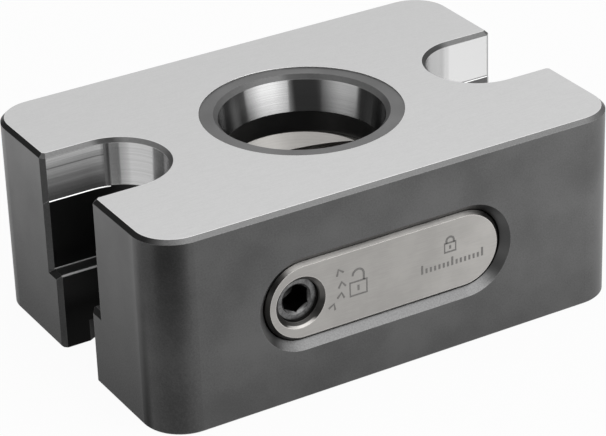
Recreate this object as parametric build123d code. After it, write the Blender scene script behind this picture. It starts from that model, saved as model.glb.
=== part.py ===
"""Manual clamping module for pull studs: a ground block with a screw-driven clamping slide.

The block is bolted down by a screw in each open end slot. A pull stud drops into the centring
bore on top. Turning the set screw clockwise pushes the slide out of its pocket, and the sloped
lip behind the slide's opening draws the stud down.

Millimetres, +Z up. The origin is the centre of the bottom face. +X runs along the block and the
slide's face looks to -Y. The model shows the module unlocked.
"""

import os
from math import radians, sqrt, tan

from build123d import *

# Block
body_length = 100.0
body_width = 68.0
body_height = 39.5
corner_radius = 8.0
top_chamfer = 0.8
foot_chamfer = 0.3

# Centring bore: a shallow unground recess, a lead-in and a ground taper above a relieved bore
recess_diameter = 39.2
recess_depth = 0.2
lead_in_diameter = 33.8
lead_in_depth = 0.9
taper_top_diameter = 32.0
taper_foot_diameter = 30.5
taper_length = 6.5
relief_diameter = 31.0
bore_floor_thickness = 7.0

# End slots: a ground upper band, a seat for the hold-down screw's head and a shank slot
slot_spacing = 80.0
band_width = 20.2
band_depth = 9.5
head_slot_width = 20.0
head_slot_depth = 24.0
shank_slot_width = 13.5
slot_rim_chamfer = 0.8
slot_mouth_chamfer = 0.9
seat_edge_chamfer = 0.3
locating_bore_diameter = 16.0
locating_bore_depth = 4.5

# Slide pocket in the front face
pocket_height = 16.0
pocket_length = 51.2
pocket_centre_x = -2.5
pocket_centre_z = 19.5
pocket_mouth_chamfer = 1.5
rear_wall = 11.5

# Clamping slide
slide_setback = 0.8
slide_clearance = 0.08
slide_side_gap = 0.3
slide_floor_gap = 0.5
slide_front_chamfer = 0.7
slide_rear_chamfer = 0.5
opening_width = 28.6
opening_offset = 1.2
slide_stroke = 3.0
ramp_angle = 20.0
ramp_start = 2.9

# Clamping screw, its thread drawn at the core diameter
thread_core_diameter = 8.5
thread_length = 20.0
thread_clearance = 0.05
shank_diameter = 8.0
screw_face_depth = 1.7
screw_end_chamfer = 0.15
hex_across_flats = 5.0
hex_depth = 5.5
hex_mouth_diameter = 6.2
countersink_diameter = 10.4
screw_x = -20.6
tip_diameter = 7.0
tip_length = 7.0
tip_clearance = 0.05
tip_chamfer = 0.4
tip_groove_diameter = 5.0
tip_groove_width = 2.7
tip_groove_setback = 2.65

# Pins and thrust pad
pad_thickness = 2.0
pad_gap = 0.05
pad_chamfer = 0.3
retaining_pin_diameter = 2.5
retaining_pin_gap = 0.05
retaining_pin_length = 22.0
stop_pin_diameter = 5.0
stop_pin_length = 14.0
stop_pin_setback = 9.0
stop_play = 0.1
stop_groove_clearance = 0.2
stop_groove_depth = 4.0
pin_setback = 1.0
pin_end_chamfer = 0.4
pin_hole_clearance = 0.02

# How far a cutting tool runs past a face that it opens
overrun = 2.0

front_y = -body_width / 2
stop_pin_y = front_y + stop_pin_setback
slide_front_y = front_y + slide_setback
pocket_floor_y = body_width / 2 - rear_wall
slide_rear_y = pocket_floor_y - slide_floor_gap
slide_length = slide_rear_y - slide_front_y
slide_height = pocket_height - 2 * slide_clearance
slide_width = pocket_length - 2 * (slide_clearance + slide_side_gap)
slide_top_z = pocket_centre_z + slide_height / 2
slide_bottom_z = pocket_centre_z - slide_height / 2
band_z = body_height - band_depth
seat_z = body_height - head_slot_depth
screw_face_y = slide_front_y + screw_face_depth
thread_end_y = screw_face_y + thread_length
tip_end_y = pocket_floor_y + tip_length
pad_front_y = tip_end_y + pad_gap
groove_start_y = tip_end_y - tip_groove_setback - tip_groove_width / 2
retaining_pin_y = groove_start_y + tip_groove_width / 2
retaining_pin_offset = (tip_groove_diameter + retaining_pin_diameter) / 2 + retaining_pin_gap


def front_plane(x, y, z):
    """A sketch plane parallel to the front face: local x is +X, local y is +Z, normal is -Y."""
    return Plane(origin=(x, y, z), x_dir=(1, 0, 0), z_dir=(0, -1, 0))


def turned(profile):
    """A solid of revolution about Z from points (radius, height)."""
    return revolve(Plane.XZ * Polygon(*profile, align=None), Axis.Z)


def turned_along_y(x, z, profile):
    """A solid of revolution about a line along +Y, from points (radius, y)."""
    solid = turned(profile)
    return Pos(x, 0, z) * Rot(X=-90) * solid


def stadium_bar(width, height, start_y, length):
    """A bar of stadium section that runs along +Y from start_y."""
    section = SlotOverall(width, height)
    return extrude(front_plane(pocket_centre_x, start_y, pocket_centre_z) * section, -length)


def open_slot(side, width, low, high):
    """An end slot's space: a round end at the hold-down screw, open at the block's end."""
    reach = (body_length - slot_spacing) / 2 + overrun
    outline = Circle(width / 2) + Pos(side * reach / 2, 0) * Rectangle(reach, width)
    return Pos(side * slot_spacing / 2, 0, low) * extrude(outline, high - low)


def slot_rim(side, width, top_z, size, run_out):
    """The bevel around an end slot's rim at top_z, which runs out above it."""
    depth = size + run_out
    low = width / 2
    high = low + depth
    reach = (body_length - slot_spacing) / 2 + overrun
    round_end = Cone(low, high, depth, align=(Align.CENTER, Align.CENTER, Align.MIN))
    section = Polygon((-low, 0), (low, 0), (high, depth), (-high, depth), align=None)
    flare = extrude(Plane.YZ * section, side * reach)
    return Pos(side * slot_spacing / 2, 0, top_z - size) * (round_end + flare)


def mouth_section(side, x, grow):
    """The stepped outline of an end slot on the plane at x, grown outwards on every wall."""
    half_band = band_width / 2 + grow
    half_head = head_slot_width / 2 + grow
    half_shank = shank_slot_width / 2 + grow
    half = [
        (half_shank, -overrun),
        (half_shank, seat_z - grow),
        (half_head, seat_z - grow),
        (half_head, band_z - grow),
        (half_band, band_z - grow),
        (half_band, body_height + overrun),
    ]
    mirrored = [(-y, z) for y, z in reversed(half)]
    return Plane.YZ.offset(side * x) * Polygon(*half, *mirrored, align=None)


def slot_mouth(side):
    """The bevel around an end slot's outline on the block's end face."""
    grow = slot_mouth_chamfer
    inner = mouth_section(side, body_length / 2 - grow, 0)
    outer = mouth_section(side, body_length / 2 + overrun, grow + overrun)
    return loft([inner, outer], ruled=True)


def mouth_corner(side, side_y):
    """The top face's bevel, carried across the bevel of a slot's mouth."""
    x = side * (body_length - slot_mouth_chamfer) / 2
    y = side_y * (band_width + slot_mouth_chamfer) / 2
    edge = (x, y, body_height - top_chamfer)
    slope = Plane(origin=edge, x_dir=(side, side_y, 0), z_dir=(side, -side_y, sqrt(2)))
    size = 2 * (slot_mouth_chamfer + top_chamfer)
    return slope * Box(size, size, size, align=(Align.CENTER, Align.CENTER, Align.MIN))


def make_body():
    block = extrude(RectangleRounded(body_length, body_width, corner_radius), body_height)
    block = chamfer(block.faces().sort_by(Axis.Z)[-1].outer_wire().edges(), top_chamfer)
    block = chamfer(block.faces().sort_by(Axis.Z)[0].outer_wire().edges(), foot_chamfer)

    block -= stadium_bar(pocket_length, pocket_height, front_y, pocket_floor_y - front_y)
    front = block.faces().sort_by(Axis.Y)[0]
    block = chamfer(front.inner_wires()[0].edges(), pocket_mouth_chamfer)

    block -= bore_space()
    for side in (-1, 1):
        block -= open_slot(side, band_width, band_z, body_height + overrun)
        block -= open_slot(side, head_slot_width, seat_z, body_height)
        block -= open_slot(side, shank_slot_width, -overrun, body_height)
        block -= slot_rim(side, band_width, body_height, slot_rim_chamfer, overrun)
        block -= slot_rim(side, shank_slot_width, seat_z, seat_edge_chamfer, seat_edge_chamfer)
        block -= slot_mouth(side)
        block -= mouth_corner(side, -1)
        block -= mouth_corner(side, 1)
        block -= locating_bore(side)

    block -= screw_seat()
    for x in (screw_x - retaining_pin_offset, screw_x + retaining_pin_offset):
        length = pin_setback + retaining_pin_length + pin_hole_clearance
        block -= pin_hole(x, retaining_pin_y, retaining_pin_diameter, length)
    block -= pin_hole(0, stop_pin_y, stop_pin_diameter, pocket_centre_z)
    return block


def bore_space():
    """The centring bore, from the block's top face down to its floor."""
    recess_z = body_height - recess_depth
    taper_top_z = recess_z - lead_in_depth
    taper_foot_z = taper_top_z - taper_length
    return turned([
        (0, bore_floor_thickness),
        (relief_diameter / 2, bore_floor_thickness),
        (relief_diameter / 2, taper_foot_z),
        (taper_foot_diameter / 2, taper_foot_z),
        (taper_top_diameter / 2, taper_top_z),
        (lead_in_diameter / 2, recess_z),
        (recess_diameter / 2, recess_z),
        (recess_diameter / 2, body_height + overrun),
        (0, body_height + overrun),
    ])


def locating_bore(side):
    """The counterbore under a slot, which takes a locating sleeve."""
    depth = locating_bore_depth + overrun
    tool = Cylinder(locating_bore_diameter / 2, depth, align=(Align.CENTER, Align.CENTER, Align.MIN))
    return Pos(side * slot_spacing / 2, 0, -overrun) * tool


def screw_seat():
    """The blind hole in the pocket's floor, for the screw's tip and the thrust pad."""
    radius = tip_diameter / 2 + tip_clearance
    return turned_along_y(screw_x, pocket_centre_z, [
        (0, pocket_floor_y - overrun),
        (radius, pocket_floor_y - overrun),
        (radius, pad_front_y + pad_thickness),
        (0, pad_front_y + pad_thickness),
    ])


def pin_hole(x, y, diameter, depth):
    """A reamed hole from the block's bottom face."""
    radius = diameter / 2 + pin_hole_clearance
    tool = Cylinder(radius, depth + overrun, align=(Align.CENTER, Align.CENTER, Align.MIN))
    return Pos(x, y, -overrun) * tool


def make_slide():
    slide = stadium_bar(slide_width, slide_height, slide_front_y, slide_length)
    slide = chamfer(slide.faces().sort_by(Axis.Y)[0].edges(), slide_front_chamfer)
    slide = chamfer(slide.faces().sort_by(Axis.Y)[-1].edges(), slide_rear_chamfer)
    slide -= slide_opening(0, slide_top_z + overrun)
    slide -= slide_undercut()
    slide -= tapped_hole()
    slide -= stop_groove()
    return slide


def slide_opening(extra, top_z):
    """A round-ended opening through the slide, its rear end moved back by extra."""
    length = opening_width + 2 * opening_offset + extra
    low_z = slide_bottom_z - overrun
    outline = Pos(0, extra / 2) * SlotOverall(length, opening_width, rotation=90)
    return Pos(0, 0, low_z) * extrude(outline, top_z - low_z)


def slide_undercut():
    """The space behind and under the lip, whose sloped ceiling draws the stud down."""
    start_y = opening_offset + ramp_start
    low_z = slide_bottom_z - overrun
    rear_y = slide_rear_y
    fall = (rear_y - start_y) * tan(radians(ramp_angle))
    rise = (start_y + opening_width) * tan(radians(ramp_angle))
    wedge = Plane.YZ * Polygon(
        (-opening_width, low_z),
        (rear_y, low_z),
        (rear_y, slide_top_z - fall),
        (-opening_width, slide_top_z + rise),
        align=None,
    )
    below_ramp = extrude(wedge, opening_width, both=True)
    return slide_opening(slide_stroke, slide_top_z + overrun) & below_ramp


def tapped_hole():
    """The screw's hole through the slide: countersink, tapped front and drilled rear."""
    core_radius = thread_core_diameter / 2 + thread_clearance
    mouth_radius = countersink_diameter / 2
    return turned_along_y(screw_x, pocket_centre_z, [
        (0, slide_front_y - overrun),
        (mouth_radius + overrun, slide_front_y - overrun),
        (core_radius, slide_front_y + mouth_radius - core_radius),
        (core_radius, slide_rear_y + overrun),
        (0, slide_rear_y + overrun),
    ])


def stop_groove():
    """The groove under the slide that the stop pin stands in, as long as the stroke."""
    width = stop_pin_diameter + 2 * stop_groove_clearance
    length = stop_pin_diameter + 2 * stop_play + slide_stroke
    outline = SlotOverall(length, width, rotation=90) if length > width else Circle(width / 2)
    low_z = slide_bottom_z - overrun
    centre_y = stop_pin_y + slide_stroke / 2
    return Pos(0, centre_y, low_z) * extrude(outline, stop_groove_depth + overrun)


def make_screw():
    face_radius = thread_core_diameter / 2 - screw_end_chamfer
    shank_step = (thread_core_diameter - shank_diameter) / 2
    screw = turned_along_y(screw_x, pocket_centre_z, [
        (0, screw_face_y),
        (face_radius, screw_face_y),
        (thread_core_diameter / 2, screw_face_y + screw_end_chamfer),
        (thread_core_diameter / 2, thread_end_y),
        (shank_diameter / 2, thread_end_y + shank_step),
        (shank_diameter / 2, pocket_floor_y - slide_floor_gap),
        (tip_diameter / 2, pocket_floor_y - slide_floor_gap),
        (tip_diameter / 2, groove_start_y),
        (tip_groove_diameter / 2, groove_start_y),
        (tip_groove_diameter / 2, groove_start_y + tip_groove_width),
        (tip_diameter / 2, groove_start_y + tip_groove_width),
        (tip_diameter / 2, tip_end_y - tip_chamfer),
        (tip_diameter / 2 - tip_chamfer, tip_end_y),
        (0, tip_end_y),
    ])
    return screw - hex_socket()


def hex_socket():
    """The hex socket, a corner upwards, with its conical mouth and drill point."""
    flat_radius = hex_across_flats / 2
    mouth_radius = hex_mouth_diameter / 2
    hexagon = RegularPolygon(flat_radius, 6, major_radius=False, rotation=30)
    mouth_plane = front_plane(screw_x, screw_face_y - overrun, pocket_centre_z)
    walls = extrude(mouth_plane * hexagon, -(hex_depth + overrun))
    floor_y = screw_face_y + hex_depth
    mouth = turned_along_y(screw_x, pocket_centre_z, [
        (0, screw_face_y - overrun),
        (mouth_radius + overrun, screw_face_y - overrun),
        (0, screw_face_y + mouth_radius),
    ])
    drill_point = turned_along_y(screw_x, pocket_centre_z, [
        (0, floor_y),
        (flat_radius, floor_y),
        (0, floor_y + flat_radius * tan(radians(30))),
    ])
    return walls + mouth + drill_point


def make_thrust_pad():
    radius = tip_diameter / 2
    return turned_along_y(screw_x, pocket_centre_z, [
        (0, pad_front_y),
        (radius - pad_chamfer, pad_front_y),
        (radius, pad_front_y + pad_chamfer),
        (radius, pad_front_y + pad_thickness),
        (0, pad_front_y + pad_thickness),
    ])


def make_pin(x, y, diameter, length):
    """A dowel pin that stands in a hole from the bottom face, a little inside it."""
    radius = diameter / 2
    pin = turned([
        (0, pin_setback),
        (radius - pin_end_chamfer, pin_setback),
        (radius, pin_setback + pin_end_chamfer),
        (radius, pin_setback + length - pin_end_chamfer),
        (radius - pin_end_chamfer, pin_setback + length),
        (0, pin_setback + length),
    ])
    return Pos(x, y, 0) * pin


def make_retaining_pin(side):
    x = screw_x + side * retaining_pin_offset
    return make_pin(x, retaining_pin_y, retaining_pin_diameter, retaining_pin_length)


parts = {
    "body": make_body(),
    "clamping_slide": make_slide(),
    "clamping_screw": make_screw(),
    "thrust_pad": make_thrust_pad(),
    "retaining_pin_left": make_retaining_pin(-1),
    "retaining_pin_right": make_retaining_pin(1),
    "stop_pin": make_pin(0, stop_pin_y, stop_pin_diameter, stop_pin_length),
}

os.makedirs("parts", exist_ok=True)
for name, shape in parts.items():
    export_step(shape, f"parts/{name}.step")
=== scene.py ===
"""A studio picture of a manual clamping module: a black steel block with ground faces.

The finish of each piece is worked out from its place on the object, in millimetres: the faces
that are ground after blackening are bright, the rest is dark, and much of the brightness by
place is painted shade, painted reflection and painted highlight. Lengths are in metres unless
a name or comment says millimetres, and angles are in degrees.
"""

from math import cos, pi, radians, sin, tan

import bmesh
import bpy
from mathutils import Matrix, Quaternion, Vector


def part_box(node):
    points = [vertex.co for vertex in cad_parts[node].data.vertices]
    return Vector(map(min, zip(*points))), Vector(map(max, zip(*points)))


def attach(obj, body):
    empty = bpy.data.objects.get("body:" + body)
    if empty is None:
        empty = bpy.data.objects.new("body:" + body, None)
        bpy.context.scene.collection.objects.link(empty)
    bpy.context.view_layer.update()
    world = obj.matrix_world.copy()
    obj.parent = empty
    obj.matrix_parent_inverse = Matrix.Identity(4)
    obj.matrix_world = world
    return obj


MM = 0.001

# The photograph's camera: its azimuth is anticlockwise from +Y, the way it looks
CAMERA_PLACE = Vector((-0.23557, -0.41073, 0.26390))
CAMERA_AZIMUTH = -29.777
CAMERA_ELEVATION = 27.606
CAMERA_ROLL = -2.036
CAMERA_LENS = 164.16

# Directions that surfaces face
UP = (0.0, 0.0, 1.0)
LEFT = (-1.0, 0.0, 0.0)
FRONT = (0.0, -1.0, 0.0)
FRONT_LEFT = (-1.0, -1.0, 0.0)
FRONT_RIGHT = (1.0, -1.0, 0.0)
LEFT_UP = (-1.0, 0.0, 1.0)
FRONT_UP = (0.0, -1.0, 1.0)
FRONT_DOWN = (0.0, -1.0, -1.0)
LEFT_CORNER = (-0.53, -0.85, 0.0)

# How nearly they face them, as the cosine of the angle: limits, and the spans of soft masks
FACING = 0.9
POCKET_WALL_FACING = 0.95
END_SPAN = (0.93, 0.995)
LEFT_CORNER_SPAN = (0.90, 0.98)
CHAMFER_SPAN = (0.78, 0.97)
POCKET_LEFT_SPAN = (0.85, 1.0)
POCKET_RIGHT_SPAN = (0.88, 1.0)
POCKET_ROOF_SPAN = (0.8, 0.95)
POCKET_FOOT_SPAN = (0.84, 0.97)
SLIDE_BEVEL_SPAN = (0.90, 0.98)

# Grain of the patterns: features a millimetre along X, Y and Z
CLOUD = (0.10, 0.10, 0.10)
SPECK = (3.0, 3.0, 3.0)
GRINDING = (0.4, 4.0, 1.0)
TURNING = (0.02, 0.02, 5.0)
STREAKS = (0.02, 0.02, 1.1)
FINE_STREAKS = (0.05, 0.05, 7.0)
BLOOM = (0.16, 0.16, 0.16)
BRUSHED = (0.25, 6.0, 6.0)
OPENING_LINES = (0.03, 0.03, 4.0)
SCREW_RINGS = (0.6, 6.0, 0.6)
PIN_LINES = (0.3, 0.3, 6.0)
MARK_GRAIN = (5.0, 5.0, 5.0)

# The span of a pattern that is spread over a whole range, and how bright it makes the block's
# edges, as wear and painted highlight
CONTRAST = (0.3, 0.7)
SHARP_CONTRAST = (0.35, 0.65)
EDGE_WEAR_AND_GLINT = (0.35, 0.6, 0.05, 0.30)

# Edges, in millimetres: the radii they are softened to, and the radii of their bright lines of wear
# and painted highlight
BLOCK_SOFTENING = 0.12
SLIDE_SOFTENING = 0.12
PIN_SOFTENING = 0.08
SCREW_SOFTENING = 0.08
MARK_SOFTENING = 0.02
BLOCK_WEAR_AND_GLINT = 0.14
SLIDE_GLINT = 0.4
SCREW_WEAR = 0.12

# The span of an edge line of wear and painted highlight, as the cosine between the plain and the
# softened normal
EDGE_SPAN = (0.99, 0.90)

# Depth of the relief, in millimetres, and the shares that patterns have of it
FINE_RELIEF = 0.003
COARSE_RELIEF = 0.004
SPECK_RELIEF = 0.5
GROUND_RELIEF = 0.35
THREAD_RELIEF = 20.0

# Places on the block, in millimetres
TOP_SKIN = 0.05
BOTTOM_SKIN = 0.05
RIM_CHAMFER = 0.78
SLOT_MARGIN = 1.0
BAND_START_X = 29.8
BAND_END_X = 49.1
BAND_HALF_WIDTH = 10.15
BAND_FOOT = 29.95
BAND_FLAT_END_X = -37.4
BAND_FLAT_Y = 9.6
# Where the left slot's flat far wall has a dark line
FLAT_WALL_LINE_HEIGHTS = (36.3, 36.6)
# Where the bands' foot has a painted highlight line
FOOT_LINE_START_X = 36.5
FOOT_LINE_HEIGHTS = (29.66, 29.88)
SEAT_Z = 15.5
SEAT_SKIN = 0.1
# Where the seat's edge and corner have painted highlights
SEAT_EDGE_HEIGHTS = (SEAT_Z - 0.4, SEAT_Z + 0.3)
SEAT_CORNER_HEIGHTS = (SEAT_Z + 0.04, SEAT_Z + 0.24)
TAPER_FOOT = 31.9
TAPER_TOP = 38.42
TAPER_INNER = 15.1
TAPER_OUTER = 16.1
LEAD_IN_SKIN = 0.05
LEAD_IN_RADIUS = 16.95
LEAD_IN_DEPTH = 0.25
RECESS_RADIUS = 19.7
LEFT_CHAMFERS_END_X = -40.0
# Where the left front corner has a painted reflection and painted shade, and the front's painted
# shade at its foot
LIFT_START_Y = (-24.0, -26.5)
LIFT_END_Y = (-29.0, -32.0)
DIP_END_Y = -20.0
DIP_HEIGHTS = (16.0, 36.0)
FRONT_FOOT_HEIGHTS = (0.0, 18.0)
POCKET_REACH = 36.0
POCKET_HEIGHTS = (5.0, 35.0)
POCKET_DEPTH = 6.0

# Brightness of the block's black parts, with their painted shade, painted reflections and painted
# highlights
BLACK_OXIDE = (0.095, 0.138)
# Painted reflection and painted shade on the left front corner
CORNER_LIFT = 1.28
CORNER_DIP = 0.70
CHAMFER_OXIDE = (0.135, 0.165)
# Painted shade on the chamfers of the block's left end
LEFT_CHAMFER_SHADE = 0.12
# The pocket: painted shade on its walls and roof, painted reflections on its foot and round ends
POCKET_FOOT = (0.16, 0.21)
POCKET_WALL_SHADE = 0.085
POCKET_LEFT = 0.20
POCKET_RIGHT = 0.14
POCKET_ROOF = 0.3
BORE_OXIDE = 0.08
# Painted reflection on the mouth bevel facing front right, and painted shade on the left one below
# the seat
RIGHT_MOUTH = 0.35
LOW_MOUTH_SHADE = 0.8
# Painted reflection on part of the left slot's round rim
ROUND_RIM_SHADE = 1.2
SEAT_OXIDE = 0.11
# Painted highlights along the seat's edge and corner
SEAT_EDGE_HIGHLIGHT = 0.25
SEAT_CORNER_HIGHLIGHT = 0.16

# Brightness of its ground parts
GROUND = (0.55, 0.60)
# A painted highlight along the top face's edges
TOP_EDGE_HIGHLIGHT = 0.95
WALL_GROUND = (0.42, 0.49)
# The left slot's flat far wall: a painted reflection, darker towards its foot, with its streaks and
# dark line
FLAT_WALL_REFLECTION = (0.045, 0.15)
FLAT_WALL_STREAKS = (0.84, 1.16)
FLAT_WALL_FINE_STREAKS = (0.86, 1.14)
FLAT_WALL_LINE_SHADE = 0.55
# A painted highlight line at the foot of the slots' bands
FOOT_LINE_HIGHLIGHT = 0.65
# Painted reflection on the taper, with darker flanks
TAPER_SHADE = 0.8
FLANK_SHADE = (0.24, 0.18)

# Painted shade and painted reflections that change along the object: two places in millimetres, and
# the shade or share at each
FRONT_BY_X = (-60.0, 60.0, 0.98, 1.25)
FRONT_BY_Z = (0.0, 40.0, 1.03, 0.95)
FRONT_FOOT_BY_X = (-45.0, -25.0, 0.92, 0.72)
END_BY_Z = (-14.0, 60.0, 0.0, 1.5)
END_BY_Y = (-10.0, 10.0, 1.0, 1.24)
END_FOOT_BY_Z = (0.0, 10.0, 0.66, 1.0)
END_HEAD_BY_Z = (18.0, 34.0, 1.0, 0.96)
RECESS_BY_Y = (-19.0, 2.0, 1.38, 1.17)
# Painted shade and painted reflection along the slots' rims
LEFT_RIM_BY_X = (-40.0, -37.5, 1.0, 0.35)
ROUND_RIM_BY_X = (-36.0, -33.0, 0.0, 1.0)
RIGHT_RIM_BY_X = (37.0, 40.5, 0.45, 1.0)
# Painted shade along X on the bevel round the bore's mouth
LEAD_IN_LEFT_BY_X = (4.0, 6.5, 1.0, 0.58)
LEAD_IN_RIGHT_BY_X = (10.0, 12.5, 1.0, 1.4)
# Painted shade inside the left slot, darker towards its foot
SLOT_FOOT_SHADE_BY_Z = (8.0, SEAT_Z, 0.006, 0.045)
# Painted reflection on the top face, brighter towards the front
TOP_BY_DISTANCE = (-40.0, 40.0, 0.95, 1.03)
# Painted reflections on the slots' bands, bright and dark along X
BAND_DIM_BY_X = (-34.6, -32.8, 0.72, 1.0)
BAND_CURVE_START_BY_X = (-36.6, -36.2, 0.25, 1.0)
RIGHT_BAND_BY_X = (37.3, 39.7, 0.53, 0.335)
# The taper's painted reflection, bright and dark along X
TAPER_LEFT_BY_X = (-3.6, 0.5, 0.55, 1.05)
TAPER_MIDDLE_BY_X = (2.0, 6.5, 1.0, 0.5)
TAPER_DARK_BY_X = (5.7, 6.8, 1.0, 0.25)
TAPER_RIGHT_BY_X = (10.0, 14.0, 1.0, 7.6)
# Painted reflections on the slide and its opening, along X
SLIDE_BY_X = (2.0, 24.0, 1.0, 1.2)
OPENING_BY_X = (-2.0, 8.0, 1.06, 0.85)

# Axes along which the painted reflections on the top and the taper change, and where off its axis
# the taper's painted reflection is dark
TOP_AXIS = (0.13, -1.0, 0.0)
TAPER_AXIS = (0.506, 0.8625, 0.0)
FLANK_SPAN = (0.76, 0.68)

# How far the grooves of turned and ground walls lean their reflections up
LEFT_BAND_LEAN = 0.42
RIGHT_BAND_LEAN = 0.83
TAPER_LEAN = 0.28
OPENING_LEAN = 1.30

# Brightness of the other finishes, with painted shade, painted reflections and painted highlights
# on the slide and screw
SLIDE_STEEL = (0.34, 0.41)
SLIDE_BEVEL = (0.20, 0.27)
# Painted shade on the slide's bevel where it doesn't face up to the front
SLIDE_END_BEVEL = 0.06
# A painted highlight round the rim of the slide's face
SLIDE_RIM_HIGHLIGHT = 0.8
# Painted shade in the countersink and the hole, with a painted highlight at the countersink's foot
COUNTERSINK = 0.45
COUNTERSINK_SIDE = (0.05, 0.20)
HOLE_SHARE = 0.75
OPENING_STEEL = (0.47, 0.56)
SCREW_STEEL = (0.08, 0.24)
SCREW_EDGE = 0.4
# Painted shade inside the screw's socket
SOCKET_SHADE = 0.03
PIN_STEEL = (0.45, 0.55)
MARK_GREY = (0.17, 0.26)

# Roughness
BLACK_ROUGHNESS = (0.36, 0.46)
TOP_ROUGHNESS = (0.30, 0.36)
WALL_ROUGHNESS = 0.20
SLIDE_ROUGHNESS = (0.32, 0.44)
SCREW_ROUGHNESS = (0.34, 0.48)
PIN_ROUGHNESS = (0.22, 0.32)
MARK_ROUGHNESS = (0.45, 0.6)

# Tints, which a brightness is multiplied by
NEUTRAL = (1.0, 1.0, 1.0)
WARM = (1.03, 1.0, 0.96)
MARK_TINT = (1.0, 0.98, 0.95)

# The slide and its screw, in millimetres
SCREW_X = -20.6
SCREW_Z = 19.5
HOLE_RADIUS = 4.45
COUNTERSINK_RADIUS = 5.25
# Where the countersink's painted shade and painted highlight lie
COUNTERSINK_HEIGHTS = (SCREW_Z - 1.5, SCREW_Z + 0.5)
COUNTERSINK_FOOT = (SCREW_Z - 3.8, SCREW_Z - 4.6)
COUNTERSINK_FOOT_RADII = (4.75, 4.9)
THREAD_RIDGE_STEP = 0.75
SOCKET_RADIUS = 2.95
SOCKET_DEPTHS = (0.3, 0.6)
SLIDE_FACE_SETBACK = 0.8
SLIDE_BEVEL_DEPTH = 0.72
OPENING_OFFSET = 1.2
OPENING_REACH = 14.45

# The marks on the slide's face, in millimetres: padlocks have a middle (x, z) and a height
MARK_DEPTH = 0.03
MARK_LINE = 0.42
CLOSED_PADLOCK = (11.6, 22.0, 3.4)
OPEN_PADLOCK = (-8.4, 20.0, 5.0)
TICK_COUNT = 15
TICK_START_X = 5.4
TICK_STEP = 0.95
TICK_FOOT_Z = 17.3
TICK_HEIGHT = 1.0
LONG_TICK_HEIGHT = 1.8
LONG_TICK_EVERY = 7
CHEVRON = ((-0.75, -0.6), (0.0, 0.5), (0.75, -0.6))
CHEVRON_PLACES = ((-12.4, 23.3, 20), (-11.9, 20.6, 5), (-12.1, 18.4, -8), (-13.9, 16.6, -25))

# A padlock's sizes, as shares of its height
PADLOCK_CASE = 0.55
PADLOCK_HALF_WIDTH = 0.36
PADLOCK_NECK = 0.12
PADLOCK_LIFT = 0.14

# Its shackle's width and its keyhole's heights, as shares of its case
SHACKLE_SHARE = 0.66
KEYHOLE_SHARES = (0.3, 0.7)

# The studio: panels stand upright round the object, over a span of heights above its top
PANEL_DISTANCE = 1.0
SOFTBOX_HEIGHTS = (4.0, 62.0)
BACK_FLAG_HEIGHTS = (-2.0, 18.0)
RIGHT_FLAG_HEIGHTS = (-2.0, 10.0)
LOWER_HEIGHTS = (-62.0, -4.0)
FLOOR_SIZE = 6.0
FLOOR_GREY = 0.85
FLOOR_DROP = 0.02 * MM

# The card by the camera, in millimetres: its left and right edges, each with its top
CARD_LEFT = (-77.0, -46.0, 68.0)
CARD_RIGHT = (-40.0, -186.0, 100.0)
CARD_FOOT = 30.0

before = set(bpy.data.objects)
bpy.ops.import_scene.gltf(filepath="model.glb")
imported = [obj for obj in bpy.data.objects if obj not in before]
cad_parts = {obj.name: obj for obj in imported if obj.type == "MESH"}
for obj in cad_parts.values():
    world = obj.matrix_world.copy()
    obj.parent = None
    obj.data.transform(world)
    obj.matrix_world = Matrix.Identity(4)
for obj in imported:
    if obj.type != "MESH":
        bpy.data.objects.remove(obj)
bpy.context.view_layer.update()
body_low, body_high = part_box("body")
TOP_Z = body_high.z / MM
FRONT_Y = body_low.y / MM
MARK_Y = FRONT_Y + SLIDE_FACE_SETBACK
SCREW_FACE_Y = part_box("clamping_screw")[0].y / MM
FLAT_WALL_HEIGHTS = (BAND_FOOT - 1.0, TOP_Z + 0.5)


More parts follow.
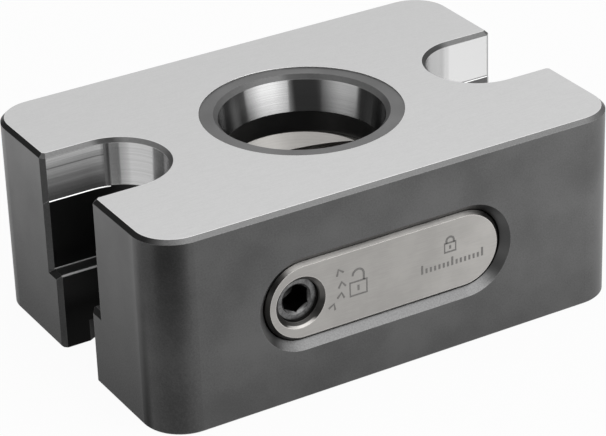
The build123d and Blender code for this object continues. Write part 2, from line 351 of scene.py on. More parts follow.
class Finish:
    """A metal material, with short calls that add nodes to it.

    A place is a mask: 1 in one part of the object and 0 elsewhere.
    """

    def __init__(self, name):
        self.material = bpy.data.materials.new(name)
        self.material.use_nodes = True
        self.nodes = self.material.node_tree.nodes
        self.links = self.material.node_tree.links
        self.shader = self.nodes["Principled BSDF"]
        self.shader.inputs["Metallic"].default_value = 1.0
        coordinate = self.nodes.new("ShaderNodeTexCoord").outputs["Object"]
        self.position = self.scaled(coordinate, (1 / MM, 1 / MM, 1 / MM))
        separate = self.nodes.new("ShaderNodeSeparateXYZ")
        self.links.new(self.position, separate.inputs[0])
        self.x, self.y, self.z = separate.outputs

    def put(self, socket, value):
        """Links an output to a socket, or sets a plain value on it."""
        if isinstance(value, bpy.types.NodeSocket):
            self.links.new(value, socket)
        else:
            socket.default_value = value

    def vector(self, operation, first, second=None):
        node = self.nodes.new("ShaderNodeVectorMath")
        node.operation = operation
        self.put(node.inputs[0], first)
        if second is not None:
            self.put(node.inputs[1], second)
        return node.outputs["Value" if operation == "DOT_PRODUCT" else "Vector"]

    def scaled(self, vector, factors):
        return self.vector("MULTIPLY", vector, factors)

    def combined(self, value):
        """A vector whose three parts are one value."""
        node = self.nodes.new("ShaderNodeCombineXYZ")
        for socket in node.inputs:
            self.put(socket, value)
        return node.outputs[0]

    def math(self, operation, first, second=0.0):
        node = self.nodes.new("ShaderNodeMath")
        node.operation = operation
        self.put(node.inputs[0], first)
        self.put(node.inputs[1], second)
        return node.outputs[0]

    def ramp(self, value, start, end, low=0.0, high=1.0):
        """value from start to end, mapped smoothly to low to high."""
        node = self.nodes.new("ShaderNodeMapRange")
        node.interpolation_type = "SMOOTHSTEP"
        for index, number in enumerate((value, start, end, low, high)):
            self.put(node.inputs[index], number)
        return node.outputs[0]

    def over(self, value, limit):
        return self.math("GREATER_THAN", value, limit)

    def under(self, value, limit):
        return self.math("LESS_THAN", value, limit)

    def within(self, value, low, high):
        """1 where value is between low and high, and 0 elsewhere."""
        return self.math("MULTIPLY", self.over(value, low), self.under(value, high))

    def product(self, first, *factors):
        for factor in factors:
            first = self.math("MULTIPLY", first, factor)
        return first

    def all_of(self, *places):
        """The place where all of these places overlap."""
        return self.product(*places)

    def any_of(self, first, *places):
        """The place that these places cover together."""
        for place in places:
            first = self.math("MAXIMUM", first, place)
        return first

    def mix(self, share, low, high):
        node = self.nodes.new("ShaderNodeMix")
        self.put(node.inputs["Factor"], share)
        self.put(node.inputs["A"], low)
        self.put(node.inputs["B"], high)
        return node.outputs[0]

    def shaded(self, value, place, shade):
        """value, multiplied by a shade in one place."""
        return self.product(value, self.mix(place, 1.0, shade))

    def noise(self, grain, detail):
        """Noise whose grain is so many features a millimetre along X, Y and Z."""
        node = self.nodes.new("ShaderNodeTexNoise")
        node.inputs["Scale"].default_value = 1.0
        node.inputs["Detail"].default_value = detail
        self.put(node.inputs["Vector"], self.scaled(self.position, grain))
        return node.outputs["Fac"]

    def distance(self, first, second):
        """The distance from an axis, from two offsets square to it."""
        squares = self.math("ADD", self.math("POWER", first, 2.0), self.math("POWER", second, 2.0))
        return self.math("SQRT", squares)

    def from_screw(self):
        """The distance from the clamping screw's axis."""
        across = self.math("SUBTRACT", self.x, SCREW_X)
        return self.distance(across, self.math("SUBTRACT", self.z, SCREW_Z))

    def facing(self, direction):
        """How far the surface faces a direction, as the cosine of the angle to it."""
        normal = self.nodes.new("ShaderNodeNewGeometry").outputs["Normal"]
        return self.vector("DOT_PRODUCT", normal, Vector(direction).normalized())

    def softened(self, radius):
        """The surface's normal with its edges rounded to a radius in millimetres."""
        node = self.nodes.new("ShaderNodeBevel")
        node.samples = 6
        node.inputs["Radius"].default_value = radius * MM
        return node.outputs[0]

    def wear_and_glint_edges(self, radius):
        """1 along edges and 0 on faces, for lines of wear and painted highlights."""
        normal = self.nodes.new("ShaderNodeNewGeometry").outputs["Normal"]
        return self.ramp(self.vector("DOT_PRODUCT", self.softened(radius), normal), *EDGE_SPAN)

    def raised(self, normal, amount):
        """A normal leaned up along Z by an amount."""
        lean = self.scaled(self.combined(amount), UP)
        return self.vector("NORMALIZE", self.vector("ADD", normal, lean))

    def grooved(self, where):
        """Grooves round the walls in a place: they spread reflections along Z."""
        up = self.scaled(self.combined(1.0), UP)
        self.put(self.shader.inputs["Tangent"], up)
        self.put(self.shader.inputs["Anisotropic"], where)

    def bump(self, height, depth, normal):
        """Relief of a depth in millimetres over a normal."""
        node = self.nodes.new("ShaderNodeBump")
        node.inputs["Distance"].default_value = depth * MM
        self.put(node.inputs["Height"], height)
        self.put(node.inputs["Normal"], normal)
        return node.outputs[0]

    def finish(self, brightness, tint, roughness, normal):
        color = self.scaled(tint, self.combined(brightness))
        self.put(self.shader.inputs["Base Color"], color)
        self.put(self.shader.inputs["Roughness"], roughness)
        self.put(self.shader.inputs["Normal"], normal)
        return self.material


class BlockFinish(Finish):
    """The block's finish, with the patterns and places that several of its parts share."""

    def __init__(self, name):
        super().__init__(name)
        self.across_x = self.math("ABSOLUTE", self.x)
        self.across_y = self.math("ABSOLUTE", self.y)
        self.radius = self.distance(self.x, self.y)
        self.speck = self.noise(SPECK, detail=4.0)
        self.grinding = self.noise(GRINDING, detail=4.0)
        self.turning = self.noise(TURNING, detail=4.0)
        self.edges = self.wear_and_glint_edges(BLOCK_WEAR_AND_GLINT)

        self.left = self.under(self.x, 0.0)
        self.right = self.over(self.x, 0.0)
        self.far = self.over(self.y, 0.0)
        self.near_slot = self.under(self.across_y, BAND_HALF_WIDTH + SLOT_MARGIN)
        self.in_slot = self.all_of(
            self.within(self.across_x, BAND_START_X, BAND_END_X),
            self.under(self.across_y, BAND_HALF_WIDTH),
        )
        self.left_slot = self.all_of(self.in_slot, self.left)
        self.in_bore = self.under(self.radius, TAPER_OUTER)
        self.front_chamfers = self.all_of(
            self.ramp(self.facing(FRONT_UP), *CHAMFER_SPAN),
            self.over(self.radius, RECESS_RADIUS),
        )
        self.seat_corner = self.all_of(
            self.left_slot, self.within(self.z, *SEAT_CORNER_HEIGHTS), self.far
        )

        self.top_face = self.over(self.z, TOP_Z - TOP_SKIN)
        self.band = self.all_of(
            self.in_slot, self.within(self.z, BAND_FOOT, TOP_Z - RIM_CHAMFER)
        )
        self.taper = self.all_of(
            self.in_bore,
            self.over(self.radius, TAPER_INNER),
            self.within(self.z, TAPER_FOOT, TAPER_TOP),
        )
        self.foot_line = self.all_of(
            self.in_slot,
            self.within(self.z, *FOOT_LINE_HEIGHTS),
            self.over(self.across_x, FOOT_LINE_START_X),
            self.far,
        )
        self.walls = self.any_of(self.band, self.taper, self.foot_line)
        self.ground = self.any_of(self.top_face, self.walls)


def face_shade(m):
    """The painted shade and painted reflections of the block's upright black faces, and of the
    recess round the bore.
    """
    # Painted shade: upright faces darker towards the foot, the front lighter towards the right
    front = m.product(
        m.ramp(m.x, *FRONT_BY_X),
        m.ramp(m.z, *FRONT_BY_Z),
        m.ramp(m.z, *FRONT_FOOT_HEIGHTS, m.ramp(m.x, *FRONT_FOOT_BY_X), 1.0),
    )
    end = m.product(
        m.ramp(m.z, *END_BY_Z),
        m.ramp(m.y, *END_BY_Y),
        m.ramp(m.z, *END_FOOT_BY_Z),
        m.ramp(m.z, *END_HEAD_BY_Z),
    )
    shade = m.mix(m.ramp(m.facing(LEFT), *END_SPAN), front, end)
    # Painted reflection: a lighter strip round the left front corner
    lifted = m.all_of(
        m.left,
        m.ramp(m.y, *LIFT_START_Y),
        m.ramp(m.y, *LIFT_END_Y, 1.0, 0.0),
    )
    shade = m.shaded(shade, lifted, CORNER_LIFT)
    # Painted shade: the left front corner darker high up
    dipped = m.all_of(
        m.left,
        m.under(m.y, DIP_END_Y),
        m.ramp(m.facing(LEFT_CORNER), *LEFT_CORNER_SPAN),
        m.ramp(m.z, *DIP_HEIGHTS),
    )
    shade = m.shaded(shade, dipped, CORNER_DIP)
    # Painted reflection: faces that look up, such as the recess, brighter towards the front
    return m.mix(m.over(m.facing(UP), FACING), shade, m.ramp(m.y, *RECESS_BY_Y))


def rim_shade(m):
    """The painted shade and painted reflection of the slots' rims: they differ between their
    straight and round parts.
    """
    left = m.mix(m.ramp(m.x, *ROUND_RIM_BY_X), m.ramp(m.x, *LEFT_RIM_BY_X), ROUND_RIM_SHADE)
    rim = m.all_of(
        m.within(m.z, TOP_Z - RIM_CHAMFER, TOP_Z - TOP_SKIN),
        m.within(m.across_x, BAND_START_X - SLOT_MARGIN, BAND_END_X),
        m.near_slot,
    )
    return m.mix(rim, 1.0, m.mix(m.right, left, m.ramp(m.x, *RIGHT_RIM_BY_X)))


def with_pocket(m, dark):
    """Adds the slide's pocket in painted shade and painted reflections: its bright foot, its two
    round ends and its dark roof.
    """
    in_pocket = m.all_of(
        m.under(m.across_x, POCKET_REACH),
        m.within(m.z, *POCKET_HEIGHTS),
        m.under(m.y, FRONT_Y + POCKET_DEPTH),
        m.under(m.facing(FRONT), POCKET_WALL_FACING),
    )
    # Painted shade on the walls and roof, painted reflections on the round ends and the foot
    wall = m.ramp(m.facing(FRONT_RIGHT), *POCKET_LEFT_SPAN, POCKET_WALL_SHADE, POCKET_LEFT)
    wall = m.mix(m.ramp(m.facing(FRONT_LEFT), *POCKET_RIGHT_SPAN), wall, POCKET_RIGHT)
    wall = m.product(wall, m.ramp(m.facing(FRONT_DOWN), *POCKET_ROOF_SPAN, 1.0, POCKET_ROOF))
    foot = m.mix(m.ramp(m.speck, *SHARP_CONTRAST), *POCKET_FOOT)
    wall = m.mix(m.ramp(m.facing(FRONT_UP), *POCKET_FOOT_SPAN), wall, foot)
    return m.mix(in_pocket, dark, wall)


def with_lead_in(m, dark):
    """Paints shade along X on the bevel between the taper and the recess."""
    lead_in = m.all_of(
        m.within(m.radius, TAPER_OUTER - LEAD_IN_SKIN, LEAD_IN_RADIUS),
        m.within(m.z, TAPER_TOP, TOP_Z - LEAD_IN_DEPTH),
    )
    shade = m.product(m.ramp(m.x, *LEAD_IN_LEFT_BY_X), m.ramp(m.x, *LEAD_IN_RIGHT_BY_X))
    return m.shaded(dark, lead_in, shade)


def with_mouths(m, dark):
    """Adds the bevels that run up the slots' mouths: a painted reflection on the one facing front
    right, painted shade low on the left.
    """
    right_mouth = m.all_of(m.over(m.facing(FRONT_RIGHT), FACING), m.near_slot)
    dark = m.mix(right_mouth, dark, RIGHT_MOUTH)
    low_mouth = m.all_of(
        m.over(m.facing(FRONT_LEFT), FACING),
        m.near_slot,
        m.under(m.z, SEAT_Z),
        m.left,
    )
    return m.shaded(dark, low_mouth, LOW_MOUTH_SHADE)


def with_slot_and_bore(m, dark):
    """Adds the inside of the left slot, in painted shade, with its seat, and of the bore under the
    taper.
    """
    # Painted shade inside the left slot, darker towards its foot
    slot_foot = m.all_of(m.left_slot, m.within(m.z, BOTTOM_SKIN, BAND_FOOT))
    dark = m.mix(slot_foot, dark, m.ramp(m.z, *SLOT_FOOT_SHADE_BY_Z))
    seat = m.all_of(
        m.left_slot, m.under(m.z, SEAT_Z + SEAT_SKIN), m.over(m.facing(UP), FACING)
    )
    dark = m.mix(seat, dark, SEAT_OXIDE)
    bore = m.all_of(m.in_bore, m.within(m.z, BOTTOM_SKIN, TAPER_FOOT))
    dark = m.mix(bore, dark, BORE_OXIDE)
    # Painted highlights along the seat's edge and corner
    seat_edge = m.all_of(
        m.left_slot,
        m.within(m.z, *SEAT_EDGE_HEIGHTS),
        m.any_of(m.edges, m.front_chamfers),
    )
    dark = m.mix(seat_edge, dark, SEAT_EDGE_HIGHLIGHT)
    return m.mix(m.seat_corner, dark, SEAT_CORNER_HIGHLIGHT)


def black_parts(m):
    """Brightness of all that is left black, with painted shade and painted reflections by place."""
    cloud = m.noise(CLOUD, detail=3.0)
    dark = m.mix(m.ramp(m.mix(0.5, cloud, m.speck), *CONTRAST), *BLACK_OXIDE)
    dark = m.product(dark, face_shade(m))
    chamfer = m.mix(m.ramp(m.speck, *SHARP_CONTRAST), *CHAMFER_OXIDE)
    dark = m.mix(m.front_chamfers, dark, chamfer)
    dark = with_pocket(m, dark)
    # Painted shade on the chamfers of the left end
    left_chamfers = m.all_of(
        m.ramp(m.facing(LEFT_UP), *CHAMFER_SPAN), m.under(m.x, LEFT_CHAMFERS_END_X)
    )
    dark = m.shaded(dark, left_chamfers, LEFT_CHAMFER_SHADE)
    dark = m.product(dark, rim_shade(m))
    dark = with_lead_in(m, dark)
    # Edges lightened: wear, and a painted highlight
    dark = m.mix(m.product(m.edges, m.ramp(m.speck, *EDGE_WEAR_AND_GLINT)), dark, GROUND[1])
    dark = with_mouths(m, dark)
    return with_slot_and_bore(m, dark)


def painted_flat_wall(m, fine_streaks):
    """Brightness of the left slot's flat far wall: a painted reflection, darker towards its foot
    and streaked, with one dark line.
    """
    streaks = m.noise(STREAKS, detail=3.0)
    flat_reflection = m.product(
        m.ramp(m.z, *FLAT_WALL_HEIGHTS, *FLAT_WALL_REFLECTION),
        m.ramp(streaks, *CONTRAST, *FLAT_WALL_STREAKS),
        m.ramp(fine_streaks, *CONTRAST, *FLAT_WALL_FINE_STREAKS),
    )
    return m.shaded(flat_reflection, m.within(m.z, *FLAT_WALL_LINE_HEIGHTS), FLAT_WALL_LINE_SHADE)


def taper_shade(m):
    """The taper's painted reflection: bright in the middle and on the right, with dark flanks."""
    # Painted reflection: the taper dark on its flanks, off its axis
    ahead = m.math("ABSOLUTE", m.vector("DOT_PRODUCT", m.position, TAPER_AXIS))
    flank = m.all_of(m.taper, m.ramp(m.math("DIVIDE", ahead, m.radius), *FLANK_SPAN))
    shade = m.product(
        m.ramp(m.x, *TAPER_LEFT_BY_X),
        m.ramp(m.x, *TAPER_MIDDLE_BY_X),
        m.ramp(m.x, *TAPER_DARK_BY_X),
        m.ramp(m.x, *TAPER_RIGHT_BY_X),
        TAPER_SHADE,
    )
    return m.mix(flank, shade, m.mix(m.right, *FLANK_SHADE))


def ground_walls(m):
    """Brightness of the slots' bands, of the line at their foot and of the taper, with painted
    reflections and a painted highlight.
    """
    fine_streaks = m.noise(FINE_STREAKS, detail=3.0)
    lines = m.mix(0.5, m.turning, fine_streaks)
    wall = m.mix(m.ramp(lines, *SHARP_CONTRAST), *WALL_GROUND)
    # Painted reflection: dark bands where the left band's curve begins, and the right band's
    # brightness along X
    dim = m.product(m.ramp(m.x, *BAND_DIM_BY_X), m.ramp(m.x, *BAND_CURVE_START_BY_X))
    wall = m.shaded(wall, m.all_of(m.left, m.far), dim)
    wall = m.mix(m.all_of(m.right, m.band), wall, m.ramp(m.x, *RIGHT_BAND_BY_X))
    # The left slot's flat far wall: a painted reflection
    flat_wall_place = m.all_of(m.under(m.x, BAND_FLAT_END_X), m.over(m.y, BAND_FLAT_Y))
    wall = m.mix(flat_wall_place, wall, painted_flat_wall(m, fine_streaks))
    wall = m.shaded(wall, m.taper, taper_shade(m))
    # A painted highlight line at the bands' foot
    return m.mix(m.foot_line, wall, FOOT_LINE_HIGHLIGHT)


def ground_top(m):
    """Brightness of the top face, with lines along X, a painted reflection and a painted highlight
    along its edges.
    """
    top = m.mix(m.ramp(m.mix(0.4, m.grinding, m.speck), *CONTRAST), *GROUND)
    # Painted reflection: brighter towards the front
    to_front = m.vector("DOT_PRODUCT", m.position, TOP_AXIS)
    top = m.product(top, m.ramp(to_front, *TOP_BY_DISTANCE))
    # A painted highlight along the top face's edges
    return m.mix(m.edges, top, TOP_EDGE_HIGHLIGHT)


def black_oxide():
    """The block: black oxide, with its top, slot bands and taper ground bright, and painted shade
    and painted reflections.
    """
    m = BlockFinish("black_oxide_ground")
    bright = m.mix(m.walls, ground_top(m), ground_walls(m))
    brightness = m.mix(m.ground, black_parts(m), bright)

    rough_top = m.ramp(m.grinding, *CONTRAST, *TOP_ROUGHNESS)
    rough_bright = m.mix(m.walls, rough_top, WALL_ROUGHNESS)
    rough_black = m.ramp(m.speck, *CONTRAST, *BLACK_ROUGHNESS)
    roughness = m.mix(m.ground, rough_black, rough_bright)

    ground_relief = m.product(m.mix(m.walls, m.grinding, m.turning), GROUND_RELIEF)
    relief = m.mix(m.ground, m.product(m.speck, SPECK_RELIEF), ground_relief)
    band_lean = m.product(m.band, m.mix(m.right, LEFT_BAND_LEAN, RIGHT_BAND_LEAN))
    taper_lean = m.product(m.taper, TAPER_LEAN)
    lean = m.any_of(band_lean, m.foot_line, m.seat_corner, taper_lean)
    normal = m.bump(relief, FINE_RELIEF, m.raised(m.softened(BLOCK_SOFTENING), lean))
    m.grooved(m.walls)
    return m.finish(brightness, NEUTRAL, roughness, normal)


def satin_steel():
    """The slide: satin steel with a fine brushed grain along X and a blotchy bloom, with painted
    shade and painted reflections.
    """
    m = Finish("satin_slide_steel")
    bloom = m.noise(BLOOM, detail=3.0)
    brushed = m.noise(BRUSHED, detail=3.0)
    turning = m.noise(OPENING_LINES, detail=3.0)
    share = m.mix(0.35, bloom, brushed)
    off_front = m.under(m.facing(FRONT), FACING)
    brightness = m.mix(m.ramp(share, *CONTRAST), *SLIDE_STEEL)
    # Painted reflection: the slide brighter towards the right
    brightness = m.product(brightness, m.ramp(m.x, *SLIDE_BY_X))

    # Painted shade on the bevel where it doesn't face up to the front
    bevel = m.all_of(m.under(m.y, MARK_Y + SLIDE_BEVEL_DEPTH), off_front)
    straight_bevel = m.mix(m.ramp(share, *SHARP_CONTRAST), *SLIDE_BEVEL)
    upward = m.ramp(m.facing(FRONT_UP), *SLIDE_BEVEL_SPAN)
    brightness = m.mix(bevel, brightness, m.mix(upward, SLIDE_END_BEVEL, straight_bevel))
    # A painted highlight round the rim of the slide's face
    face_rim = m.all_of(m.wear_and_glint_edges(SLIDE_GLINT), m.over(m.facing(FRONT), FACING))
    brightness = m.mix(face_rim, brightness, SLIDE_RIM_HIGHLIGHT)

    opening = m.under(m.distance(m.x, m.math("SUBTRACT", m.y, OPENING_OFFSET)), OPENING_REACH)
    inside = m.mix(m.ramp(m.mix(0.4, bloom, turning), *CONTRAST), *OPENING_STEEL)
    # Painted reflection: the opening darker towards the right
    inside = m.product(inside, m.ramp(m.x, *OPENING_BY_X))
    brightness = m.mix(opening, brightness, inside)

    # Painted shade in the countersink and the hole, with a painted highlight at the countersink's
    # foot
    from_screw = m.from_screw()
    sunk = m.all_of(m.under(from_screw, COUNTERSINK_RADIUS), off_front)
    low_side = m.all_of(
        m.ramp(m.z, *COUNTERSINK_FOOT), m.ramp(from_screw, *COUNTERSINK_FOOT_RADII)
    )
    side = m.ramp(m.z, *COUNTERSINK_HEIGHTS, *COUNTERSINK_SIDE)
    brightness = m.mix(sunk, brightness, m.mix(low_side, side, COUNTERSINK))
    hole = m.under(from_screw, HOLE_RADIUS)
    brightness = m.mix(m.product(hole, HOLE_SHARE), brightness, COUNTERSINK_SIDE[0])

    thread = m.math("SINE", m.product(m.y, 2 * pi / THREAD_RIDGE_STEP))
    relief = m.mix(hole, brushed, m.product(thread, THREAD_RELIEF))
    lean = m.product(opening, OPENING_LEAN)
    normal = m.bump(relief, FINE_RELIEF, m.raised(m.softened(SLIDE_SOFTENING), lean))
    roughness = m.ramp(share, *CONTRAST, *SLIDE_ROUGHNESS)
    return m.finish(brightness, WARM, roughness, normal)


def screw_black():
    """The set screw: black steel with turned rings, darkest inside its socket, in painted shade."""
    m = Finish("screw_black")
    rings = m.noise(SCREW_RINGS, detail=3.0)
    speck = m.noise(SPECK, detail=4.0)
    depth = m.math("SUBTRACT", m.y, SCREW_FACE_Y)
    socket = m.all_of(m.under(m.from_screw(), SOCKET_RADIUS), m.ramp(depth, *SOCKET_DEPTHS))
    brightness = m.mix(m.ramp(m.mix(0.5, rings, speck), *CONTRAST), *SCREW_STEEL)
    brightness = m.mix(m.product(m.wear_and_glint_edges(SCREW_WEAR), 0.5), brightness, SCREW_EDGE)
    # Painted shade inside the socket
    brightness = m.mix(socket, brightness, SOCKET_SHADE)
    roughness = m.ramp(speck, *CONTRAST, *SCREW_ROUGHNESS)
    normal = m.bump(speck, COARSE_RELIEF, m.softened(SCREW_SOFTENING))
    return m.finish(brightness, NEUTRAL, roughness, normal)


def ground_pins():
    """Ground dowels and the pad: bright steel with lines in the planes square to Z."""
    m = Finish("pin_steel_ground")
    lines = m.noise(PIN_LINES, detail=3.0)
    brightness = m.mix(lines, *PIN_STEEL)
    roughness = m.ramp(lines, *CONTRAST, *PIN_ROUGHNESS)
    normal = m.bump(lines, FINE_RELIEF, m.softened(PIN_SOFTENING))
    return m.finish(brightness, NEUTRAL, roughness, normal)


def laser_mark():
    """A dark laser mark with a grainy surface."""
    m = Finish("laser_mark")
    grain = m.noise(MARK_GRAIN, detail=4.0)
    brightness = m.mix(m.ramp(grain, *CONTRAST), *MARK_GREY)
    roughness = m.ramp(grain, *CONTRAST, *MARK_ROUGHNESS)
    normal = m.bump(grain, COARSE_RELIEF, m.softened(MARK_SOFTENING))
    return m.finish(brightness, MARK_TINT, roughness, normal)


def flat_strip(bm, points, closed=False):
    """A line of MARK_LINE width through points (x, z) in millimetres, as a thin raised strip."""
    count = len(points)
    half = MARK_LINE / 2
    rings = []
    for index in range(count):
        before = Vector(points[(index - 1) % count] if closed or index else points[0])
        after = Vector(points[(index + 1) % count] if closed or index < count - 1 else points[-1])
        along = (after - before).normalized()
        side = Vector((-along.y, along.x)) * half
        here = Vector(points[index])
        left, right = here + side, here - side
        rings.append([
            bm.verts.new((left.x * MM, MARK_Y * MM, left.y * MM)),
            bm.verts.new((left.x * MM, (MARK_Y - MARK_DEPTH) * MM, left.y * MM)),
            bm.verts.new((right.x * MM, (MARK_Y - MARK_DEPTH) * MM, right.y * MM)),
            bm.verts.new((right.x * MM, MARK_Y * MM, right.y * MM)),
        ])
    spans = count if closed else count - 1
    for index in range(spans):
        first, second = rings[index], rings[(index + 1) % count]
        for edge in range(4):
            follow = (edge + 1) % 4
            bm.faces.new((first[edge], first[follow], second[follow], second[edge]))
    if not closed:
        bm.faces.new(rings[0][::-1])
        bm.faces.new(rings[-1])


def half_circle(centre, radius, steps=16):
    """Points on the upper half of a circle, from its left end to its right."""
    turns = [radians(180 - 180 * step / steps) for step in range(steps + 1)]
    return [(centre[0] + radius * cos(t), centre[1] + radius * sin(t)) for t in turns]


def padlock(bm, x, z, height, is_open):
    """A padlock pictogram: a case with a keyhole line and a shackle."""
    case = height * PADLOCK_CASE
    half = height * PADLOCK_HALF_WIDTH
    shackle = half * SHACKLE_SHARE
    foot = z - height / 2
    shoulder = foot + case
    sides = (x - half, x + half)
    corners = [(sides[0], foot), (sides[1], foot), (sides[1], shoulder), (sides[0], shoulder)]
    flat_strip(bm, corners, True)
    lift = height * PADLOCK_LIFT if is_open else 0.0
    top = shoulder + height * PADLOCK_NECK + lift
    left = [(x - shackle, top if is_open else shoulder)]
    right = [(x + shackle, shoulder)]
    flat_strip(bm, left + half_circle((x, top), shackle) + right)
    flat_strip(bm, [(x, foot + case * share) for share in KEYHOLE_SHARES])


def chevron(bm, x, z, tilt):
    """A plain arrow head, turned by a tilt from pointing up."""
    turn = radians(tilt)
    flat_strip(bm, [
        (x + u * cos(turn) - v * sin(turn), z + u * sin(turn) + v * cos(turn))
        for u, v in CHEVRON
    ])


def make_marks():
    """The slide's marks: a closed padlock over a row of ticks, and an open one by four chevrons."""
    bm = bmesh.new()
    padlock(bm, *CLOSED_PADLOCK, False)
    for step in range(TICK_COUNT):
        x = TICK_START_X + step * TICK_STEP
        tall = TICK_HEIGHT if step % LONG_TICK_EVERY else LONG_TICK_HEIGHT
        flat_strip(bm, [(x, TICK_FOOT_Z), (x, TICK_FOOT_Z + tall)])
    padlock(bm, *OPEN_PADLOCK, True)
    for place in CHEVRON_PLACES:
        chevron(bm, *place)
    bmesh.ops.recalc_face_normals(bm, faces=bm.faces)
    mesh = bpy.data.meshes.new("slide_marks")
    bm.to_mesh(mesh)
    bm.free()
    marks = bpy.data.objects.new("slide_marks", mesh)
    bpy.context.scene.collection.objects.link(marks)
    mesh.materials.append(laser_mark())
    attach(marks, "slide")


def dress_nodes():
    """Gives each CAD node its finish."""
    pin = ground_pins()
    finishes = {
        "body": black_oxide(),
        "clamping_slide": satin_steel(),
        "clamping_screw": screw_black(),
        "thrust_pad": pin,
        "retaining_pin_left": pin,
        "retaining_pin_right": pin,
        "stop_pin": pin,
    }
    for name, material in finishes.items():
        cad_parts[name].material_slots[0].material = material


def seen_share(nodes, links):
    """1 for rays that see a background: straight, in a reflection or through glass."""
    path = nodes.new("ShaderNodeLightPath")
    total = path.outputs["Is Camera Ray"]
    for name in ("Is Glossy Ray", "Is Transmission Ray"):
        node = nodes.new("ShaderNodeMath")
        node.operation = "MAXIMUM"
        links.new(total, node.inputs[0])
        links.new(path.outputs[name], node.inputs[1])
        total = node.outputs[0]
    return total


def make_world(ambient):
    """A white world where it is seen, and a soft ambient light elsewhere."""
    world = bpy.data.worlds.new("studio")
    bpy.context.scene.world = world
    world.use_nodes = True
    nodes, links = world.node_tree.nodes, world.node_tree.links
    background = nodes["Background"]
    background.inputs["Color"].default_value = (1.0, 1.0, 1.0, 1.0)
    strength = nodes.new("ShaderNodeMapRange")
    strength.inputs["To Min"].default_value = ambient
    strength.inputs["To Max"].default_value = 1.0
    links.new(seen_share(nodes, links), strength.inputs["Value"])
    links.new(strength.outputs[0], background.inputs["Strength"])


def bare_material(name):
    """A material without a shader: its nodes, its links and the surface socket."""
    material = bpy.data.materials.new(name)
    material.use_nodes = True
    nodes, links = material.node_tree.nodes, material.node_tree.links
    nodes.remove(nodes["Principled BSDF"])
    return material, nodes, links, nodes["Material Output"].inputs["Surface"]


def studio_object(name, mesh):
    """An object of the studio, which isn't part of the visual model."""
    obj = bpy.data.objects.new(name, mesh)
    bpy.context.scene.collection.objects.link(obj)
    return obj


def plane(name, size):
    mesh = bpy.data.meshes.new(name)
    x, y = size[0] / 2, size[1] / 2
    mesh.from_pydata([(-x, -y, 0), (x, -y, 0), (x, y, 0), (-x, y, 0)], [], [(0, 1, 2, 3)])
    return studio_object(name, mesh)


def make_floor(whiteness):
    """A pale floor that shows white and keeps the object's shadow. It doesn't show from below."""
    floor = plane("floor", (FLOOR_SIZE, FLOOR_SIZE))
    floor.location.z = -FLOOR_DROP
    floor.visible_glossy = False
    material, nodes, links, surface = bare_material("floor")
    diffuse = nodes.new("ShaderNodeBsdfDiffuse")
    diffuse.inputs["Color"].default_value = (FLOOR_GREY, FLOOR_GREY, FLOOR_GREY, 1.0)
    white = nodes.new("ShaderNodeEmission")
    white.inputs["Color"].default_value = (1.0, 1.0, 1.0, 1.0)
    share = nodes.new("ShaderNodeMath")
    share.operation = "MULTIPLY"
    links.new(seen_share(nodes, links), share.inputs[0])
    share.inputs[1].default_value = whiteness
    lit = nodes.new("ShaderNodeMixShader")
    links.new(share.outputs[0], lit.inputs[0])
    links.new(diffuse.outputs[0], lit.inputs[1])
    links.new(white.outputs[0], lit.inputs[2])
    clear = nodes.new("ShaderNodeBsdfTransparent")
    back = nodes.new("ShaderNodeNewGeometry")
    sided = nodes.new("ShaderNodeMixShader")
    links.new(back.outputs["Backfacing"], sided.inputs[0])
    links.new(lit.outputs[0], sided.inputs[1])
    links.new(clear.outputs[0], sided.inputs[2])
    links.new(sided.outputs[0], surface)
    floor.data.materials.append(material)


def panel_span(heights):
    """The low and high edge of a panel over a span of heights."""
    return [PANEL_DISTANCE * tan(radians(height)) for height in heights]


def panel_size(azimuths, heights):
    width = 2 * PANEL_DISTANCE * tan(radians(azimuths[1] - azimuths[0]) / 2)
    low, high = panel_span(heights)
    return width, high - low


def stand_upright(obj, azimuths, heights):
    """Stands a panel facing the object, where it spans azimuths and heights."""
    middle = radians((azimuths[0] + azimuths[1]) / 2)
    low, high = panel_span(heights)
    out = Vector((cos(middle), sin(middle), 0.0))
    obj.location = out * PANEL_DISTANCE + Vector((0.0, 0.0, (low + high) / 2 + TOP_Z * MM))
    obj.rotation_mode = "QUATERNION"
    obj.rotation_quaternion = (-out).to_track_quat("-Z", "Y")


def softbox(name, azimuths, radiance):
    """An upright area lamp."""
    light = bpy.data.lights.new(name, "AREA")
    light.shape = "RECTANGLE"
    light.size, light.size_y = panel_size(azimuths, SOFTBOX_HEIGHTS)
    light.energy = radiance * pi * light.size * light.size_y
    lamp = bpy.data.objects.new(name, light)
    bpy.context.scene.collection.objects.link(lamp)
    stand_upright(lamp, azimuths, SOFTBOX_HEIGHTS)


def reflect_only(panel, brightness):
    """Gives a panel an even grey that shows in reflections only."""
    material, nodes, links, surface = bare_material(panel.name)
    grey = nodes.new("ShaderNodeEmission")
    grey.inputs["Strength"].default_value = brightness
    links.new(grey.outputs[0], surface)
    panel.data.materials.append(material)
    panel.visible_camera = False
    panel.visible_diffuse = False
    panel.visible_shadow = False


def flag(name, azimuths, heights, brightness):
    """An upright panel that shows in reflections only, black or a shade of grey."""
    panel = plane(name, panel_size(azimuths, heights))
    stand_upright(panel, azimuths, heights)
    reflect_only(panel, brightness)


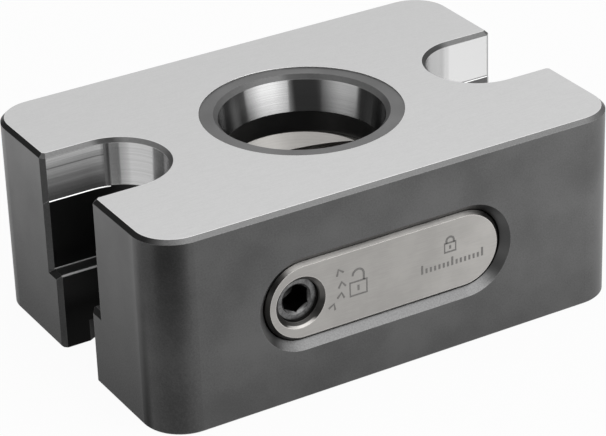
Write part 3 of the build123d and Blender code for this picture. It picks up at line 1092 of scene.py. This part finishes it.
def camera_card(brightness):
    """The black card by the camera: near the object, so that it shows wide in the left slot."""
    foot = [(x * MM, y * MM, CARD_FOOT * MM) for x, y, top in (CARD_LEFT, CARD_RIGHT)]
    head = [(x * MM, y * MM, top * MM) for x, y, top in (CARD_RIGHT, CARD_LEFT)]
    mesh = bpy.data.meshes.new("camera_card")
    mesh.from_pydata(foot + head, [], [(0, 1, 2, 3)])
    reflect_only(studio_object("camera_card", mesh), brightness)


def make_studio():
    """The world, the floor, two lamps, and the panels that the metal mirrors.

    Azimuths are anticlockwise from +X, seen from above.
    """
    make_world(ambient=0.5)
    make_floor(whiteness=0.95)
    softbox("softbox_front_right", azimuths=(258.0, 323.0), radiance=1.6)
    softbox("softbox_left", azimuths=(157.0, 211.0), radiance=0.15)
    camera_card(brightness=0.02)
    flag("flag_back_left", azimuths=(86.0, 157.0), heights=BACK_FLAG_HEIGHTS, brightness=0.14)
    flag("flag_right", azimuths=(323.0, 390.0), heights=RIGHT_FLAG_HEIGHTS, brightness=0.04)
    flag("lower_flag_left", azimuths=(126.0, 200.0), heights=LOWER_HEIGHTS, brightness=0.35)
    flag("lower_flag_front", azimuths=(200.0, 256.0), heights=LOWER_HEIGHTS, brightness=0.34)
    flag("lower_flag_right", azimuths=(256.0, 288.0), heights=LOWER_HEIGHTS, brightness=0.60)


def make_camera():
    data = bpy.data.cameras.new("camera")
    data.lens = CAMERA_LENS
    data.sensor_width = 36.0
    data.clip_start = 0.01
    data.clip_end = 20.0
    camera = bpy.data.objects.new("camera", data)
    bpy.context.scene.collection.objects.link(camera)
    azimuth, elevation = radians(CAMERA_AZIMUTH), radians(CAMERA_ELEVATION)
    forward = Vector((
        -sin(azimuth) * cos(elevation),
        cos(azimuth) * cos(elevation),
        -sin(elevation),
    ))
    camera.location = CAMERA_PLACE
    camera.rotation_mode = "QUATERNION"
    roll = Quaternion((0.0, 0.0, 1.0), radians(CAMERA_ROLL))
    camera.rotation_quaternion = forward.to_track_quat("-Z", "Y") @ roll
    bpy.context.scene.camera = camera


dress_nodes()
make_marks()
make_studio()
make_camera()
bpy.context.scene.view_settings.view_transform = "Standard"
